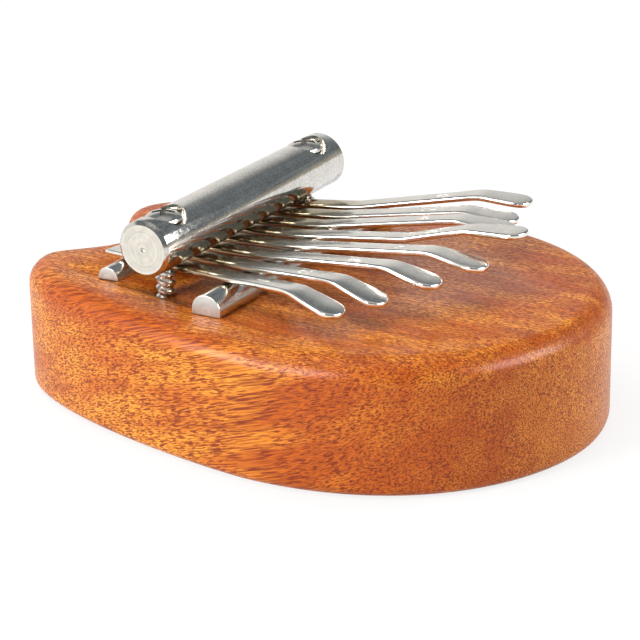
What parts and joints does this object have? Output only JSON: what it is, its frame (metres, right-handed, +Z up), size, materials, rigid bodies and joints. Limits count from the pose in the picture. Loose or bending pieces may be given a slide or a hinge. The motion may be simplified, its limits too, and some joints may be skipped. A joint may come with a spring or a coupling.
{
  "type": "thumb piano",
  "caption": "Small thumb piano: solid notched wooden body, fan of flat steel tines held over two half-round bridges by a round screwed-down pressure bar.",
  "frame": {"origin": "centre of the flat underside of the wooden body, under the middle of the whole part's box", "axes": "+Z up out of the soundboard, +Y towards the notched end, tine tips to -Y, X across the tines"},
  "size_m": [0.0624, 0.0822, 0.0309],
  "materials": {
    "body_wood": "orange-red mahogany under clear gloss lacquer",
    "bar_plate": "bright nickel plate, turned matt ends",
    "bridge_plate": "bright nickel plate",
    "screw_plate": "nickel plate",
    "tine_steel": "satin spring steel with polished edges"
  },
  "bodies": {
    "root": {"wooden_body": "body_wood", "pressure_bar": "bar_plate", "left_bar_screw": "screw_plate", "right_bar_screw": "screw_plate", "front_bridge": "bridge_plate", "rear_bridge": "bridge_plate"},
    "shank_1": {"tine_1_shank": "tine_steel"},
    "tongue_1": {"tine_1_tongue": "tine_steel"},
    "shank_2": {"tine_2_shank": "tine_steel"},
    "tongue_2": {"tine_2_tongue": "tine_steel"},
    "shank_3": {"tine_3_shank": "tine_steel"},
    "tongue_3": {"tine_3_tongue": "tine_steel"},
    "shank_4": {"tine_4_shank": "tine_steel"},
    "tongue_4": {"tine_4_tongue": "tine_steel"},
    "shank_5": {"tine_5_shank": "tine_steel"},
    "tongue_5": {"tine_5_tongue": "tine_steel"},
    "shank_6": {"tine_6_shank": "tine_steel"},
    "tongue_6": {"tine_6_tongue": "tine_steel"},
    "shank_7": {"tine_7_shank": "tine_steel"},
    "tongue_7": {"tine_7_tongue": "tine_steel"},
    "shank_8": {"tine_8_shank": "tine_steel"},
    "tongue_8": {"tine_8_tongue": "tine_steel"}
  },
  "joints": [
    {"name": "tine_1_tuning", "type": "slide", "parent": "root", "child": "shank_1", "axis": [-0.2077, -0.9767, 0.0543], "range_m": [-0.002, 0.002]},
    {"name": "tine_1_pluck", "type": "hinge", "parent": "shank_1", "child": "tongue_1", "pos_m": [-0.0173, 0.00465, 0.02262], "axis": [0.9781, -0.208, 0], "range_deg": [-3, 3], "stiffness_Nm_per_rad": 4.41},
    {"name": "tine_2_tuning", "type": "slide", "parent": "root", "child": "shank_2", "axis": [-0.1489, -0.9873, 0.0549], "range_m": [-0.002, 0.002]},
    {"name": "tine_2_pluck", "type": "hinge", "parent": "shank_2", "child": "tongue_2", "pos_m": [-0.01235, 0.00465, 0.02262], "axis": [0.9888, -0.1491, 0], "range_deg": [-3, 3], "stiffness_Nm_per_rad": 3.81},
    {"name": "tine_3_tuning", "type": "slide", "parent": "root", "child": "shank_3", "axis": [-0.0895, -0.9944, 0.0552], "range_m": [-0.002, 0.002]},
    {"name": "tine_3_pluck", "type": "hinge", "parent": "shank_3", "child": "tongue_3", "pos_m": [-0.0074, 0.00465, 0.02262], "axis": [0.996, -0.0897, 0], "range_deg": [-3, 3], "stiffness_Nm_per_rad": 3.16},
    {"name": "tine_4_tuning", "type": "slide", "parent": "root", "child": "shank_4", "axis": [-0.0299, -0.998, 0.0554], "range_m": [-0.002, 0.002]},
    {"name": "tine_4_pluck", "type": "hinge", "parent": "shank_4", "child": "tongue_4", "pos_m": [-0.00247, 0.00465, 0.02262], "axis": [0.9996, -0.0299, 0], "range_deg": [-3, 3], "stiffness_Nm_per_rad": 2.81},
    {"name": "tine_5_tuning", "type": "slide", "parent": "root", "child": "shank_5", "axis": [0.0299, -0.998, 0.0554], "range_m": [-0.002, 0.002]},
    {"name": "tine_5_pluck", "type": "hinge", "parent": "shank_5", "child": "tongue_5", "pos_m": [0.00247, 0.00465, 0.02262], "axis": [0.9996, 0.0299, 0], "range_deg": [-3, 3], "stiffness_Nm_per_rad": 2.6},
    {"name": "tine_6_tuning", "type": "slide", "parent": "root", "child": "shank_6", "axis": [0.0895, -0.9944, 0.0552], "range_m": [-0.002, 0.002]},
    {"name": "tine_6_pluck", "type": "hinge", "parent": "shank_6", "child": "tongue_6", "pos_m": [0.0074, 0.00465, 0.02262], "axis": [0.996, 0.0897, 0], "range_deg": [-3, 3], "stiffness_Nm_per_rad": 3.04},
    {"name": "tine_7_tuning", "type": "slide", "parent": "root", "child": "shank_7", "axis": [0.1489, -0.9873, 0.0549], "range_m": [-0.002, 0.002]},
    {"name": "tine_7_pluck", "type": "hinge", "parent": "shank_7", "child": "tongue_7", "pos_m": [0.01235, 0.00465, 0.02262], "axis": [0.9888, 0.1491, 0], "range_deg": [-3, 3], "stiffness_Nm_per_rad": 3.31},
    {"name": "tine_8_tuning", "type": "slide", "parent": "root", "child": "shank_8", "axis": [0.2077, -0.9767, 0.0543], "range_m": [-0.002, 0.002]},
    {"name": "tine_8_pluck", "type": "hinge", "parent": "shank_8", "child": "tongue_8", "pos_m": [0.0173, 0.00465, 0.02262], "axis": [0.9781, 0.208, 0], "range_deg": [-3, 3], "stiffness_Nm_per_rad": 3.4}
  ]
}
